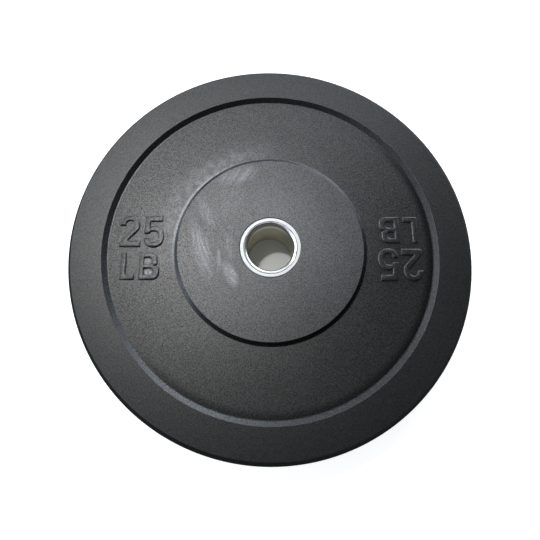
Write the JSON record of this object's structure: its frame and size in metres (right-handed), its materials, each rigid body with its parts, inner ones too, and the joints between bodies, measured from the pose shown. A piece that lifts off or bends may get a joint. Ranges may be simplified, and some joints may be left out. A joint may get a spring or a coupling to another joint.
{
  "type": "bumper plate",
  "caption": "Round moulded rubber weight plate with raised rim and hub and a flanged steel insert that slides on a barbell sleeve; made to be dropped.",
  "frame": {"origin": "on the bore's axis, in the plane of the rear hub face that the plate lies on", "axes": "+Z along the bore, out of the front face; +X to the right and +Y away, as the weight figures on the front read"},
  "size_m": [0.45, 0.45, 0.0635],
  "materials": {
    "black_rubber": "satin, fine moulded grain",
    "stainless_steel": "fine turned, bright",
    "mild_steel": "plain cut plate, buried in the rubber"
  },
  "bodies": {
    "root": {"rubber_disc": "black_rubber", "insert_sleeve": "stainless_steel", "front_flange": "stainless_steel", "rear_flange": "stainless_steel", "anchor_ring": "mild_steel"}
  },
  "joints": []
}
